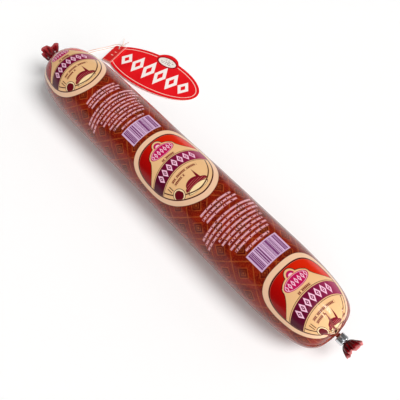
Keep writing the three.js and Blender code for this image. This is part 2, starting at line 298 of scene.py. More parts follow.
class Field:
    """A number or a colour that varies over a surface: one output of a material's nodes."""

    def __init__(self, tree, socket):
        self.tree = tree
        self.socket = socket

    def run(self, operation, *others, clamp=False):
        node = self.tree.nodes.new("ShaderNodeMath")
        node.operation = operation
        node.use_clamp = clamp
        for socket, value in zip(node.inputs, (self, *others)):
            connect(socket, value)
        return Field(self.tree, node.outputs[0])

    __add__ = operation("ADD")
    __sub__ = operation("SUBTRACT")
    __mul__ = operation("MULTIPLY")
    __truediv__ = operation("DIVIDE")
    __abs__ = operation("ABSOLUTE")
    power = operation("POWER")
    least = operation("MINIMUM")
    most = operation("MAXIMUM")
    floor = operation("FLOOR")
    round = operation("ROUND")
    fract = operation("FRACT")

    def above(self, edge, blur=0.01):
        """1 where the number is above the edge, softened over the blur."""
        return self.run("MULTIPLY_ADD", 1 / blur, 0.5 - edge / blur, clamp=True)

    def below(self, edge, blur=0.01):
        return self.run("MULTIPLY_ADD", -1 / blur, 0.5 + edge / blur, clamp=True)

    def within(self, low, high, blur=0.01):
        """1 between two edges, softened over the blur."""
        return abs(self - (low + high) / 2).below((high - low) / 2, blur)


def pair(a, b, c=0.0):
    """Two numbers, or three, as one vector."""
    node = a.tree.nodes.new("ShaderNodeCombineXYZ")
    for socket, value in zip(node.inputs, (a, b, c)):
        connect(socket, value)
    return Field(a.tree, node.outputs[0])


def parts(vector):
    """The x, y and z of a vector."""
    node = vector.tree.nodes.new("ShaderNodeSeparateXYZ")
    connect(node.inputs[0], vector)
    return [Field(vector.tree, output) for output in node.outputs]


def paint(under, over, mask):
    """Puts one colour over another where the mask is 1."""
    tree = mask.tree
    node = tree.nodes.new("ShaderNodeMix")
    node.data_type = "RGBA"
    connect(node.inputs[0], mask)
    connect(node.inputs[6], under)
    connect(node.inputs[7], over)
    return Field(tree, node.outputs[2])


def paint_all(colour, *layers):
    """Paints layers of (colour, mask) over a colour, one after another."""
    for over, mask in layers:
        colour = paint(colour, over, mask)
    return colour


def map_fields(tree, name):
    node = tree.nodes.new("ShaderNodeUVMap")
    node.uv_map = name
    return parts(Field(tree, node.outputs[0]))[:2]


def attribute_field(tree, name):
    node = tree.nodes.new("ShaderNodeAttribute")
    node.attribute_name = name
    return Field(tree, node.outputs["Fac"])


def place_field(tree):
    node = tree.nodes.new("ShaderNodeTexCoord")
    return Field(tree, node.outputs["Object"])


def noise_field(vector, scale, detail=2.0, roughness=0.5):
    tree = vector.tree
    node = tree.nodes.new("ShaderNodeTexNoise")
    set_inputs(node, {"Scale": scale, "Detail": detail, "Roughness": roughness})
    connect(node.inputs["Vector"], vector)
    return Field(tree, node.outputs["Fac"])


def random_field(a, b):
    """A different number from 0 to 1 for each pair of whole numbers."""
    node = a.tree.nodes.new("ShaderNodeTexWhiteNoise")
    node.noise_dimensions = "2D"
    connect(node.inputs["Vector"], pair(a, b))
    return Field(a.tree, node.outputs["Value"])


def bump(height, distance, under=None):
    tree = height.tree
    node = tree.nodes.new("ShaderNodeBump")
    node.inputs["Distance"].default_value = distance
    connect(node.inputs["Height"], height)
    if under is not None:
        connect(node.inputs["Normal"], under)
    return Field(tree, node.outputs[0])


def dress(shader, colour, roughness, relief):
    connect(shader.inputs["Base Color"], colour)
    connect(shader.inputs["Roughness"], roughness)
    connect(shader.inputs["Normal"], relief)


def oval(a, b, middle_a, middle_b, half_a, half_b):
    """Below 1 inside an oval, 1 on its edge."""
    across = (a - middle_a) / half_a
    around = (b - middle_b) / half_b
    return (across * across + around * around).power(0.5)


def box_distance(a, b, middle_a, middle_b, half_a, half_b):
    """Below 0 inside a rectangle."""
    return (abs(a - middle_a) - half_a).most(abs(b - middle_b) - half_b)


def from_nearest(value, pitch):
    """How far a number is from the nearest multiple of the pitch, in pitches."""
    step = value / pitch
    return abs(step - step.round())


# ---- The printed film

# Printed coordinates are in body radii: a runs along the film from a label's middle towards the
# near end, and b runs round it, towards +Y. The print repeats along the film.
PRINT_REPEAT = 4.80
PRINT_SCALE_ALONG = 1.022
PRINT_SCALE_ROUND = 0.966
PRINT_SHIFT_ROUND = 0.0466

CREAM = srgb(238, 190, 136)
CREAM_EDGE = srgb(242, 198, 162)
DEEP_LINE = srgb(72, 4, 10)
LABEL_RED = srgb(196, 9, 3)
BAND = srgb(112, 6, 50)
PALE_INK = srgb(250, 196, 220)
OVAL_INK = srgb(190, 16, 84)
MOTIF_INK = srgb(120, 12, 32)
FILM_RED = srgb(136, 24, 6)
FILM_LINE = srgb(180, 88, 38)
TEXT_INK = srgb(246, 184, 194)
CODE_GROUND = srgb(216, 180, 212)
CODE_BAR = srgb(122, 58, 112)

TRELLIS_CELL = 0.80
CODE_MIDDLE = (3.276, 0.056)  # along and round the film
CODE_BAR_WIDTH = 0.0100
BAND_MIDDLE = -0.075
BAND_HALF_WIDTH = 0.178
PLATE_MIDDLE = -0.58
FIR_TOP = 0.35
FIR_FOOT = 0.72
BORDER_START = 0.846  # where the label's cream border begins, 1 being the label's edge

# Rows of dashes that stand for small print: place along the film, half height, and the row's two
# ends round it.
BLOCK_ROWS = [
    (1.480, -0.54, 0.54), (1.597, -0.57, 0.62), (1.710, -0.53, 0.55),
    (1.888, -0.99, 0.93), (2.008, -1.04, 0.93), (2.130, -1.10, 0.93),
    (2.256, -0.67, 0.76), (2.378, -0.68, 0.79), (2.494, -0.54, 0.68),
    (2.616, -0.60, 0.69), (2.740, -0.54, 0.62), (2.910, -0.34, 0.46),
]
LABEL_ROWS = [(-0.335, -0.21, 0.21), (0.265, -0.44, 0.44), (0.365, -0.43, -0.04)]


def dash_rows(a, b, rows, half_height, first):
    """Masks of rows of dashes: 1 on the rows, and each row's number."""
    masks = []
    for middle, low, high in rows:
        row = box_distance(a, b, middle, (low + high) / 2, half_height, (high - low) / 2)
        masks.append(row.below(0.0, 0.02))
    numbers = [row * float(first + i) for i, row in enumerate(masks)]
    return reduce(Field.most, masks), reduce(Field.most, numbers)


def dashes(b, number, cell):
    """Short uneven marks with gaps between words along a row."""
    along = b / cell + number * 3.7
    row = number.round()
    body = along.fract().within(0.08, 0.88, 0.12)
    letter = random_field(along.floor(), row).above(0.10, 0.02)
    words = along.floor() / 5.0
    word = random_field(words.floor(), row + 31.0)
    gap = words.fract().above(0.1, 0.02).most(word.below(0.35, 0.02))
    return body * letter * gap


def label_radius(a, b):
    """1 on the label's outline: a broad top with round corners and a bottom that tapers."""
    across = abs(a)
    around = abs(b) / 1.13
    top = ((across / 1.13).power(3.0) + around.power(3.0)).power(1 / 3.0)
    bottom = ((across / 1.24).power(1.75) + around.power(1.75)).power(1 / 1.75)
    is_low = a.above(0.0, 0.001)
    return top + (bottom - top) * is_low


def draw_trellis(colour, a, b, fade):
    """A trellis of fine lines with nested diamonds where they leave room."""
    lozenge = from_nearest(a, TRELLIS_CELL) + from_nearest(b + 0.01, TRELLIS_CELL)
    lozenge = lozenge.least((lozenge * -1.0) + 1.0)
    lines = lozenge.above(0.472, 0.02)
    lines = lines.most(lozenge.within(0.20, 0.245, 0.02))
    lines = lines.most(lozenge.within(0.09, 0.13, 0.02) * 0.8)
    lines = lines.most(lozenge.below(0.05, 0.02))
    dark = lozenge.below(0.20, 0.02) * 0.6
    return paint_all(colour, (srgb(70, 8, 4), dark), (FILM_LINE, lines * fade))


def draw_small_print(colour, a, b):
    """Rows of dashes, and a code of random bars without digits."""
    rows, number = dash_rows(a, b, BLOCK_ROWS, 0.027, 1)
    code = box_distance(a, b, *CODE_MIDDLE, 0.264, 0.512)
    bars = random_field((b / CODE_BAR_WIDTH).floor(), 7.0).above(0.52, 0.02)
    bars = bars * box_distance(a, b, *CODE_MIDDLE, 0.235, 0.46).below(0.0, 0.01)
    return paint_all(
        colour,
        (TEXT_INK, rows * dashes(b, number, 0.036)),
        (paint(CODE_GROUND, CODE_BAR, bars), code.below(0.0, 0.012)),
    )


def draw_ground(a, b, band_a, around):
    """Red above the band with a cream bell, cream below; the red has painted light towards +Y and
    painted shade towards -Y.
    """
    flare = ((a + 0.70) / 0.47).most(0.0)
    bell = abs(b) - flare * flare * 0.42 - 0.40
    bell = bell.most((a + 0.66) * -1.0)
    bell = bell.least((oval(a, b, -0.56, 0.0, 0.225, 0.43) - 1.0) * 0.3)
    bell = bell.least((oval(a, b, -0.76, 0.0, 0.155, 0.155) - 1.0) * 0.15)
    return paint_all(
        LABEL_RED,
        # painted light: lighter red towards +Y; painted shade: darker red towards -Y
        (srgb(222, 42, 6), around.above(0.2, 1.2)),
        (srgb(134, 0, 3), around.below(-0.45, 0.9)),
        (DEEP_LINE, bell.below(0.022, 0.012)),
        (CREAM, bell.below(0.0, 0.012)),
        (CREAM, band_a.above(0.0, 0.01)),
    )


def draw_plate(field, a, b):
    """A plate without a name: an oval with lozenges, and a ring over it."""
    plate = oval(a, b, PLATE_MIDDLE, 0.0, 0.160, 0.395)
    stone = from_nearest(b, 0.104) / 0.40 + abs(a - PLATE_MIDDLE) / 0.088
    return paint_all(
        field,
        (OVAL_INK, oval(a, b, -0.745, 0.0, 0.12, 0.12).below(1.0, 0.06)),
        (PALE_INK, oval(a, b, -0.765, 0.0, 0.035, 0.06).below(1.0, 0.2)),
        (CREAM, plate.below(1.10, 0.03)),
        (OVAL_INK, plate.below(1.0, 0.03)),
        (PALE_INK, plate.within(0.86, 0.91, 0.03)),
        (PALE_INK, stone.within(0.45, 1.0, 0.15) * abs(b).below(0.312, 0.01)),
    )


def draw_picture(field, a, b):
    """A low hill with furrows, a fir tree and a pale pool."""
    hill = oval(a, b, 0.76, 0.02, 0.115, 0.36).least(oval(a, b, 0.69, -0.02, 0.13, 0.24))
    fir = abs(b - 0.19) - (a - FIR_TOP) * 0.16
    fir = fir.most((a - FIR_TOP) * -1.0).most(a - FIR_FOOT)
    furrow = ((a + b * 0.12) / 0.052).fract().within(0.30, 0.60, 0.15)
    furrow = furrow * hill.below(0.86, 0.06) * a.within(0.64, 0.80, 0.01)
    pool = oval(a, b, 0.865, -0.01, 0.085, 0.31)
    return paint_all(
        field,
        (MOTIF_INK, hill.below(1.0, 0.04) * a.below(0.80, 0.01)),
        (MOTIF_INK, fir.below(0.0, 0.012)),
        (srgb(206, 104, 96), furrow * 0.7),
        (DEEP_LINE, pool.below(1.08, 0.04)),
        (srgb(255, 224, 170), pool.below(1.0, 0.04)),
    )


def draw_foot(field, a, b, radius):
    """A fine line along the foot, a seal with a blot in it, and two ticks."""
    seal = oval(a, b, 0.666, -0.54, 0.185, 0.185)
    wobble = noise_field(pair(a, b), 9.0, 1.0)
    ticks = abs(abs(b + 0.60) - 0.035).below(0.012, 0.01) * a.within(0.30, 0.46, 0.01)
    return paint_all(
        field,
        (DEEP_LINE, radius.within(0.738, 0.766, 0.008) * a.above(0.2, 0.02)),
        (srgb(255, 226, 178), seal.below(1.0, 0.04)),
        (DEEP_LINE, seal.within(0.90, 1.0, 0.04)),
        (srgb(104, 10, 24), (seal + wobble * 0.25).below(0.86, 0.06)),
        (DEEP_LINE, ticks),
    )


def draw_band(field, b, band_a, around):
    """The band, with lozenges in the place of a name, and painted shade towards -Y and painted
    light towards +Y.
    """
    band = abs(band_a - BAND_MIDDLE)
    inside = band.below(BAND_HALF_WIDTH, 0.01)
    stone = from_nearest(b, 0.188) / 0.43 + band / 0.140
    ring = stone.within(0.52, 1.0, 0.12).most(stone.below(0.2, 0.1))
    return paint_all(
        field,
        (DEEP_LINE, band.below(0.212, 0.01)),
        (CREAM, band.below(0.198, 0.01)),
        (BAND, inside),
        # painted shade: darker band towards -Y; painted light: paler band towards +Y
        (srgb(66, 4, 26), inside * around.below(-0.45, 0.8) * 0.9),
        (srgb(182, 50, 100), inside * around.above(0.5, 0.9) * 0.7),
        (PALE_INK, ring * abs(b).below(0.658, 0.01)),
    )


def draw_label(colour, a, b, around):
    """The label, in a cream border between fine dark lines."""
    radius = label_radius(a, b)
    droop = b * b * 0.22
    band_a = a - droop
    field = draw_ground(a, b, band_a, around)
    field = draw_plate(field, a, b)
    field = draw_picture(field, a, b)
    field = draw_foot(field, a, b, radius)
    rows, number = dash_rows(a - droop * 0.9, b, LABEL_ROWS, 0.034, 21)
    field = paint(field, srgb(126, 40, 30), rows * dashes(b, number, 0.045))
    field = draw_band(field, b, band_a, around)
    border = paint(CREAM_EDGE, DEEP_LINE, radius.within(BORDER_START, 0.878, 0.008))
    return paint_all(
        colour,
        (DEEP_LINE, radius.below(1.018, 0.01) * 0.6),
        (paint(field, border, radius.above(BORDER_START, 0.008)), radius.below(1.0, 0.010)),
    )


def film_colour(along, around):
    flat = pair(along, around)
    a = along / PRINT_SCALE_ALONG
    a = a - (a / PRINT_REPEAT).round() * PRINT_REPEAT
    b = (around - PRINT_SHIFT_ROUND) / PRINT_SCALE_ROUND
    # what lies beyond half a repeat is read from the label before it
    text_a = a + a.below(0.0, 0.001) * PRINT_REPEAT
    mottle = noise_field(flat, 2.2, 4.0, 0.6)
    grain = noise_field(flat, 24.0, 3.0, 0.6)
    colour = paint(FILM_RED, srgb(88, 6, 4), mottle.above(0.52, 0.32))
    colour = paint(colour, srgb(176, 66, 22), grain.above(0.54, 0.14) * 0.38)
    fade = noise_field(flat, 5.0, 2.0).above(0.45, 0.3) * 0.42 + 0.16
    colour = draw_trellis(colour, a, b, fade)
    colour = draw_small_print(colour, text_a, b)
    return draw_label(colour, a, b, around)


def film_material():
    material, tree, shader = new_material("printed_film")
    along, around = map_fields(tree, "print_map")
    flat = pair(along, around)
    crease_shade = attribute_field(tree, "crease_shade")
    # painted shade: the colour goes dark along the deeper creases
    colour = paint(film_colour(along, around), srgb(20, 1, 2), crease_shade.above(0.30, 0.40))
    tail = attribute_field(tree, "tail_share")
    streak = noise_field(pair(along * 1.5, around * 6.0), 3.0, 3.0, 0.6)
    loose = paint(srgb(66, 1, 6), srgb(168, 14, 26), (streak + tail * 0.22).above(0.70, 0.26))
    # painted highlight: pale pink along the rims of the loose film, stronger on the near tail
    rim_highlight = (tail + streak * 0.25).above(0.99, 0.12) * (along.above(0.0, 0.1) * 0.65 + 0.15)
    loose = paint(loose, srgb(244, 150, 150), rim_highlight)
    colour = paint(colour, loose, tail.above(0.02, 0.04))
    haze = noise_field(flat, 7.0, 5.0, 0.65)
    set_inputs(shader, {"IOR": 1.45, "Specular IOR Level": 0.2})
    set_inputs(shader, {"Coat Weight": 0.32, "Coat Roughness": 0.09, "Coat IOR": 1.36})
    stretch = noise_field(pair(along * 0.6, around * 1.6), 5.0, 3.0, 0.5)
    puckers = noise_field(flat, 24.0, 2.0, 0.5)
    surface = bump(stretch, 0.00012)
    surface = bump(puckers, 0.000008, under=surface)
    dress(shader, colour, haze * 0.14 + 0.14, surface)
    connect(shader.inputs["Coat Normal"], surface)
    return material


# ---- The casing's shape

BODY_RADIUS = 30.0  # these lengths are in millimetres
BODY_HALF_LENGTH = 173.5
SHOULDER_LENGTH = 100.0
SHOULDER_POWER = 4.2
NOSE_LENGTH = 1.5
NOSE_RADIUS = 13.0
NECK_RADIUS = 2.1
NECK_LENGTH = 7.7  # from the nose to where the tail starts
TAIL_LENGTH = 11.5
TAIL_RADIUS = 8.2
TAIL_FLATTEN = 0.72
TAIL_FULLNESS = 1.22  # the rim is this much wider before its folds pull it in
TAIL_REACH = {1: 8.4, -1: 7.4}  # these are for the near end, 1, and the far end, -1
TAIL_LIFT = {1: 0.8, -1: 6.5}
TAIL_LOBES = {1: 9, -1: 4}
TAIL_PHASE = {1: 0.4, -1: 1.9}  # turns the folds
TAIL_WAVE = {1: 0.6, -1: 0.35}  # how much the rim waves to and fro
NEAR_TAIL_NARROWING = 0.30
TAIL_FILM = 0.42
AXIS_HEIGHT = 28.8
LABEL_TURN = radians(11.8)  # the label's middle faces this far from straight up towards -Y
LABEL_MIDDLE = 4.6

CREASE_DEPTH_LIMIT = 2.1
CREASE_END_RADIUS = 29.5  # the straight body has no creases
CREASE_FADE = 5.0
CREASE_SHARE = 0.9  # how much of a crease's depth the film follows
CREASE_SHADE_FROM = 0.675  # painted shade starts in a crease this deep
CREASE_SHADE_OVER = 0.9  # and the painted shade is darkest this much deeper

AROUND = 288
SHOULDER_RINGS = 96
MIDDLE_RINGS = 64
NECK_RINGS = 6
TAIL_RINGS = 22


def crown_distance(radius):
    share = min(1.0, radius / BODY_RADIUS)
    rounding = (1 - share**SHOULDER_POWER) ** (1 / SHOULDER_POWER)
    nose = NOSE_LENGTH * max(0.0, 1 - (radius - NECK_RADIUS) / NOSE_RADIUS) ** 1.6
    return BODY_HALF_LENGTH - SHOULDER_LENGTH * (1 - rounding) + nose


def end_outline():
    """Points (x, radius) down one end from the straight body to the end of the neck."""
    points = []
    for i in range(SHOULDER_RINGS + 1):
        turn = i / SHOULDER_RINGS * radians(84.0)
        radius = BODY_RADIUS * cos(turn) ** (2 / SHOULDER_POWER)
        points.append((crown_distance(radius), radius))
    start = points[-1][1]
    for i in range(1, 29):
        radius = NECK_RADIUS + (start - NECK_RADIUS) * (1 - i / 28) ** 1.2
        points.append((crown_distance(radius), radius))
    neck = points[-1][0]
    for i in range(1, NECK_RINGS + 1):
        points.append((neck + NECK_LENGTH * i / NECK_RINGS, NECK_RADIUS))
    return points


def make_gathers(seed, count):
    """Creases of the gathered film round one end: direction, depth, half width and reach."""
    draw = random.Random(seed)
    gathers = []
    for i in range(count):
        turn = (i + draw.uniform(-0.38, 0.38)) / count * FULL_TURN - pi
        depth = draw.uniform(0.5, 1.2)
        width = draw.uniform(0.35, 0.70)
        reach = draw.uniform(10.0, 18.0)
        if i % 3 == 0:
            depth = draw.uniform(1.6, 2.1)
            width = draw.uniform(0.40, 0.60)
            reach = draw.uniform(22.0, 33.0)
        gathers.append((turn, depth, width, reach))
    return gathers


GATHERS = {1: make_gathers(5, 30), -1: make_gathers(23, 30)}


def smooth(share):
    share = max(0.0, min(1.0, share))
    return share * share * (3 - 2 * share)


def gather_depth(side, radius, turn):
    """How far the gathers pull the film in, in millimetres."""
    if radius > CREASE_END_RADIUS:
        return 0.0
    total = 0.0
    for middle, depth, width, reach in GATHERS[side]:
        fade = smooth((reach - radius) / (reach * 0.55)) * smooth((radius - 1.2) / 3.0)
        if fade <= 0:
            continue
        curl = 0.035 * sin(radius * 0.33 + middle * 5)
        away = (turn - middle - curl + pi) % (FULL_TURN) - pi
        spread = width * (0.55 + radius / 16.0)
        total += depth * fade * exp(-((away * radius / spread) ** 2))
    return min(total, CREASE_DEPTH_LIMIT) * smooth((CREASE_END_RADIUS - radius) / CREASE_FADE)


def dent(x, turn):
    """Slow unevenness of the stuffed body, in millimetres."""
    y = sin(turn) * BODY_RADIUS
    z = cos(turn) * BODY_RADIUS
    slow = noise.noise(Vector((x / 46.0, y / 34.0, z / 34.0 + 3.1)))
    fine = noise.noise(Vector((x / 17.0, y / 11.0 + 8.0, z / 11.0)))
    return 0.42 * slow + 0.10 * fine


def tail_point(side, share, turn, inner):
    """A point of the loose film beyond the clip, from 0 at the clip to 1 at its rim."""
    lobes = TAIL_LOBES[side]
    phase = TAIL_PHASE[side]
    flare = share**0.62
    swirl = turn + 0.30 * share * sin(2 * turn + phase)
    fold = abs(sin(lobes * swirl / 2 + phase)) ** 0.6
    second = 0.5 + 0.5 * sin((lobes + 4) * swirl + 2.1 * phase)
    depth = 0.50 * smooth(share * 1.8)
    reach = 1 - depth * (1 - 0.8 * fold - 0.2 * second)
    uneven = 1 + 0.14 * share * sin(3 * turn + 2 * phase)
    rim = TAIL_RADIUS * uneven * TAIL_FULLNESS
    radius = NECK_RADIUS + (rim * reach - NECK_RADIUS) * flare
    crumple = noise.noise(Vector((turn * 2.3, share * 4.0, 7.0 * side)))
    radius += 0.7 * share * crumple
    if inner:
        radius = max(0.25, radius - TAIL_FILM)
    flatness = 1 - (1 - TAIL_FLATTEN) * share
    wave = 1.3 * sin(3 * turn + phase) + 0.9 * sin(lobes * turn + 1.0 + phase)
    wave += 0.5 * sin(13 * turn + 0.3)
    x = BODY_HALF_LENGTH + NOSE_LENGTH + NECK_LENGTH
    x += TAIL_REACH[side] * share + share * share * (wave * TAIL_WAVE[side] - 0.4)
    if inner:
        x -= 0.12 * share
    angle = turn - LABEL_TURN
    if side > 0:  # this tail is narrower towards -Y
        radius *= 1 - NEAR_TAIL_NARROWING * share * (0.5 - 0.5 * sin(angle))
    ripple = 0.8 * share * sin(5 * turn + 1.1 * phase)
    z = cos(angle) * radius * flatness + ripple + TAIL_LIFT[side] * share * share
    return side * x, sin(angle) * radius, z + AXIS_HEIGHT


class FilmMesh:
    """The film as rings of points, with the place of each point on the flat film."""

    def __init__(self):
        self.points = []
        self.crease_shades = []
        self.tail_shares = []
        self.rings = []  # place along the film of each ring

    def add_ring(self, along, points, crease_shades, tail_share=0.0):
        self.rings.append(along)
        self.points.extend(points)
        self.crease_shades.extend(crease_shades)
        self.tail_shares.extend([tail_share] * AROUND)


def turns():
    return [-pi + FULL_TURN * j / AROUND for j in range(AROUND)]


def body_ring(side, x, radius, tilt):
    """One ring. side is 0 between the ends. tilt is the outline's normal as (along, outwards)."""
    points = []
    crease_shades = []
    for turn in turns():
        pull = gather_depth(side, radius, turn) if side else 0.0
        ease = smooth((radius - 3.0) / 12.0)
        height = dent(side * x if side else x, turn) * ease - pull * CREASE_SHARE
        out_radius = radius + tilt[1] * height
        along = x + tilt[0] * height
        angle = turn - LABEL_TURN
        y = sin(angle) * out_radius
        z = cos(angle) * out_radius
        # what would lie below the floor is drawn up to it
        squeeze = AXIS_HEIGHT / max(-z, AXIS_HEIGHT)
        points.append(((side or 1) * along, y * squeeze, z * squeeze + AXIS_HEIGHT))
        # painted shade for the creases, from how deep each one pulls the film in
        crease_shades.append(smooth((pull - CREASE_SHADE_FROM) / CREASE_SHADE_OVER))
    return points, crease_shades


def film_rings():
    film = FilmMesh()
    outline = end_outline()
    lengths = [0.0]
    for (x0, r0), (x1, r1) in zip(outline, outline[1:]):
        lengths.append(lengths[-1] + hypot(x1 - x0, r1 - r0))
    start = outline[0][0]

    def tilt_at(i):
        x0, r0 = outline[max(0, i - 1)]
        x1, r1 = outline[min(len(outline) - 1, i + 1)]
        length = hypot(x1 - x0, r1 - r0)
        return ((r0 - r1) / length, (x1 - x0) / length)

    def end(side):
        rings = []
        for i, (x, radius) in enumerate(outline):
            points, crease_shades = body_ring(side, x, radius, tilt_at(i))
            rings.append((side * (start + lengths[i]), points, crease_shades))
        for inner in (False, True):
            shares = [i / TAIL_RINGS for i in range(1, TAIL_RINGS + 1)]
            if inner:
                shares = shares[::-1] + [0.02]
            for share in shares:
                points = [tail_point(side, share, turn, inner) for turn in turns()]
                along = start + lengths[-1] + TAIL_LENGTH * (2 - share if inner else share)
                rings.append((side * along, points, [0.0] * AROUND, share))
        return rings

    far = end(-1)
    near = end(1)
    for ring in reversed(far):
        film.add_ring(*ring)
    for i in range(1, MIDDLE_RINGS):
        x = start * (2 * i / MIDDLE_RINGS - 1)
        points, crease_shades = body_ring(0, x, BODY_RADIUS, (0.0, 1.0))
        film.add_ring(x, points, crease_shades)
    for ring in near:
        film.add_ring(*ring)
    return film


def film_faces(count, vertices):
    """The film's faces. The middle point that closes each end is added to the vertices."""
    faces = []
    for i in range(count - 1):
        faces.extend(tube_faces(i * AROUND, (i + 1) * AROUND, AROUND))
    for i in (0, count - 1):  # the film is pressed together inside the neck
        ring = vertices[i * AROUND : (i + 1) * AROUND]
        vertices.append(sum(ring, Vector()) / AROUND)
        for j in range(AROUND):
            k = (j + 1) % AROUND
            edge = (i * AROUND + j, i * AROUND + k)
            faces.append((*(edge[::-1] if i == 0 else edge), len(vertices) - 1))
    return faces


def write_maps(mesh, faces, film):
    """The map of the print, in body radii and radians, and a map with room for a bake."""
    print_map = mesh.uv_layers.new(name="print_map")
    bake_map = mesh.uv_layers.new(name="OFBake")
    count = len(film.rings)
    order = turns()
    index = 0
    for face in faces:
        columns = {v % AROUND for v in face if v < count * AROUND}
        wraps = 0 in columns and AROUND - 1 in columns
        for vertex in face:
            ring, place = divmod(vertex, AROUND)
            if ring < count:
                turn = order[place]
                share = place / AROUND
                if wraps and place == 0:
                    turn += FULL_TURN
                    share = 1.0
                height = (ring + 1) / (count + 1)
            else:  # the middle point of an end
                first = vertex == count * AROUND
                ring = 0 if first else count - 1
                height = 0.0 if first else 1.0
                corner = AROUND - 1 if wraps else min(columns)
                turn = order[corner]
                share = (corner + 0.5) / AROUND
            along = (film.rings[ring] - LABEL_MIDDLE) / BODY_RADIUS
            print_map.data[index].uv = (along, turn)
            bake_map.data[index].uv = (0.002 + share * 0.996, 0.002 + height * 0.996)
            index += 1


def add_attribute(mesh, name, values):
    attribute = mesh.attributes.new(name, "FLOAT", "POINT")
    for i, value in enumerate(values):
        attribute.data[i].value = value


def build_casing():
    film = film_rings()
    vertices = [Vector(p) * MM for p in film.points]
    faces = film_faces(len(film.rings), vertices)
    mesh = new_mesh("printed_casing", vertices, faces)
    write_maps(mesh, faces, film)
    # the painted crease shade of each point
    add_attribute(mesh, "crease_shade", [*film.crease_shades, 0.5, 0.5])
    add_attribute(mesh, "tail_share", [*film.tail_shares, 0.0, 0.0])
    mesh.materials.append(film_material())
    mesh.shade_smooth()
    casing = add_object("printed_casing", mesh)
    fix_normals(mesh)
    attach(casing, "root")
    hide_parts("casing")


def fix_normals(mesh):
    """Turns the faces of a closed mesh outwards."""
    work = bmesh.new()
    work.from_mesh(mesh)
    bmesh.ops.recalc_face_normals(work, faces=work.faces)
    work.to_mesh(mesh)
    work.free()


build_casing()

# ---- The meat inside


def meat_material():
    material, tree, shader = new_material("cured_meat")
    place = place_field(tree)
    grain = noise_field(place, 260.0, 3.0, 0.6)
    colour = paint(srgb(120, 34, 30), srgb(150, 58, 48), grain.above(0.5, 0.3))
    fat = tree.nodes.new("ShaderNodeTexVoronoi")
    fat.inputs["Scale"].default_value = 300.0
    connect(fat.inputs["Vector"], place)
    flecks = Field(tree, fat.outputs["Distance"]).below(0.28, 0.1)
    colour = paint(colour, srgb(232, 196, 178), flecks)
    dress(shader, colour, 0.55, bump(grain, 0.0003))
    return material


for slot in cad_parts["salami_filling"].material_slots:
    slot.material = meat_material()

# ---- Clips

CLIP_START = 176.7
CLIP_LENGTH = 5.7
CLIP_HALF_WIDTH = 4.2
CLIP_HALF_HEIGHT = 3.7
CLIP_BORE_RADIUS = 2.4
CLIP_EDGE = 0.75
CLIP_ROLL = radians(22.0)
CLIP_CLEFT_DEPTH = 1.7
CLIP_CLEFT_ANGLE = 15.0
CLIP_SEAT_DEPTH = 0.16  # the flat opposite the cleft
CLIP_SEAT_ANGLE = 22.0
CLIP_SWELL = 0.05
CLIP_BORE_INSET = 0.15  # the bore's rim lies this far inside the clip's end
CLIP_SIDES = 96


def clip_section(inset):
    """Points (y, z) of the outside: two curled legs that meet in a cleft at the top."""
    points = []
    for i in range(CLIP_SIDES):
        turn = i / CLIP_SIDES * FULL_TURN
        away = (degrees(turn - pi / 2) + 180) % 360 - 180
        cleft = CLIP_CLEFT_DEPTH * exp(-abs(away / CLIP_CLEFT_ANGLE) ** 1.3)
        below = (away + 360) % 360 - 180
        seat = CLIP_SEAT_DEPTH * exp(-((below / CLIP_SEAT_ANGLE) ** 2))
        shrink = 1 - (cleft + seat) / CLIP_HALF_HEIGHT
        y = (CLIP_HALF_WIDTH - inset) * shrink * cos(turn)
        z = (CLIP_HALF_HEIGHT - inset) * shrink * sin(turn)
        points.append((y, z))
    return points


def clip_profile():
    """(x, inset) along the outside, with rounded edges and a slight swell between them."""
    steps = 8
    edge = []
    for i in range(steps + 1):
        turn = i / steps * pi / 2
        edge.append((CLIP_EDGE * (1 - cos(turn)), CLIP_EDGE * (1 - sin(turn))))
    swell = [(CLIP_LENGTH * t, -CLIP_SWELL * sin(t * pi)) for t in (0.3, 0.5, 0.7)]
    return [*edge, *swell, *((CLIP_LENGTH - x, inset) for x, inset in reversed(edge))]


def bore_loop(x):
    angles = [FULL_TURN * i / CLIP_SIDES for i in range(CLIP_SIDES)]
    return [(x, CLIP_BORE_RADIUS * cos(t), CLIP_BORE_RADIUS * sin(t)) for t in angles]


def build_clip(name, side, node, metal):
    loops = [[(x, y, z) for y, z in clip_section(inset)] for x, inset in clip_profile()]
    for x in (CLIP_LENGTH - CLIP_BORE_INSET, CLIP_LENGTH / 2, CLIP_BORE_INSET):
        loops.append(bore_loop(x))
    roll = Matrix.Rotation(CLIP_ROLL, 3, "X")
    start = CLIP_START if side > 0 else -CLIP_START - CLIP_LENGTH
    place = Vector((start, 0.0, AXIS_HEIGHT))
    vertices = [(roll @ Vector(p) + place) * MM for loop in loops for p in loop]
    faces = []
    for i in range(len(loops)):
        faces.extend(tube_faces(i * CLIP_SIDES, (i + 1) % len(loops) * CLIP_SIDES, CLIP_SIDES))
    mesh = new_mesh(name, vertices, faces)
    mesh.materials.append(metal)
    mesh.shade_smooth()
    fix_normals(mesh)
    clip = add_object(name, mesh)
    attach(clip, "root")
    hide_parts(node)


def metal_material():
    material, tree, shader = new_material("clip_aluminium")
    place = place_field(tree)
    x, y, z = parts(place)
    drawn = noise_field(pair(x * 0.12, y, z), 2600.0, 3.0, 0.6)
    cloud = noise_field(place, 500.0, 3.0, 0.6)
    colour = paint(srgb(232, 234, 236), srgb(196, 199, 202), cloud.above(0.5, 0.4))
    shader.inputs["Metallic"].default_value = 1.0
    dress(shader, colour, drawn * 0.14 + 0.22, bump(drawn, 0.000008))
    return material


metal = metal_material()
build_clip("end_clip_near", 1, "clip_near", metal)
build_clip("end_clip_far", -1, "clip_far", metal)

# ---- Hang tag

